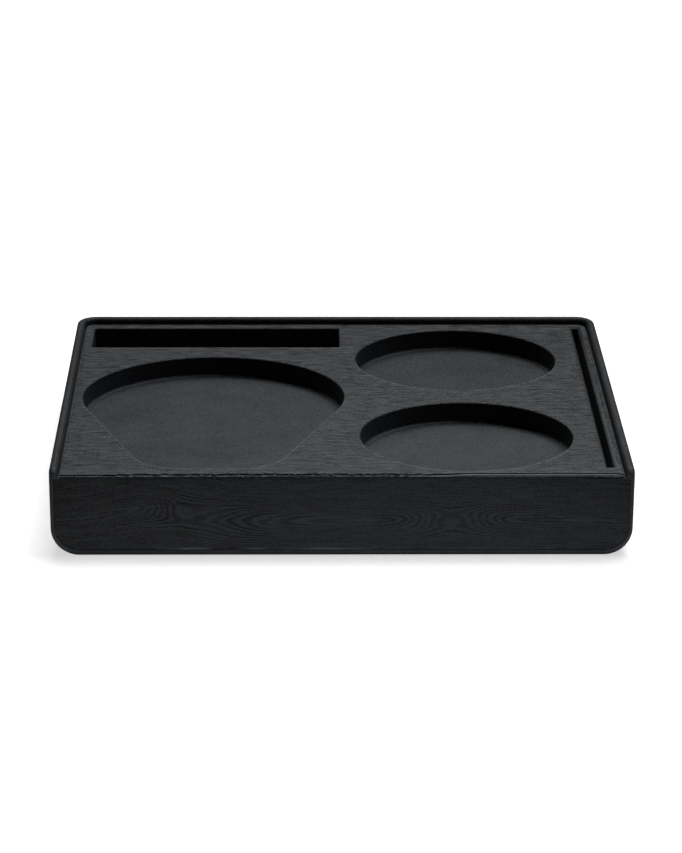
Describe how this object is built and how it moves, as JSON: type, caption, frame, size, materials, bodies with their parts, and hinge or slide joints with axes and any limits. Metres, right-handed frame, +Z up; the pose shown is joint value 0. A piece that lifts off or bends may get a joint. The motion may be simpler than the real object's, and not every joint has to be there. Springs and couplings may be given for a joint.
{
  "type": "espresso tamping station",
  "caption": "Flat moulded silicone tamping station with a rim on its sides and back, a pear-shaped portafilter recess, round tool recesses and upright slots.",
  "frame": {"origin": "middle of the flat foot", "axes": "+Z up, -Y towards the open front face, +X to the right as seen from the front"},
  "size_m": [0.16, 0.145, 0.0251],
  "materials": {
    "silicone": "matte black silicone, wood-grain relief on the work surface and front"
  },
  "bodies": {
    "root": {"station_body": "silicone"}
  },
  "joints": []
}
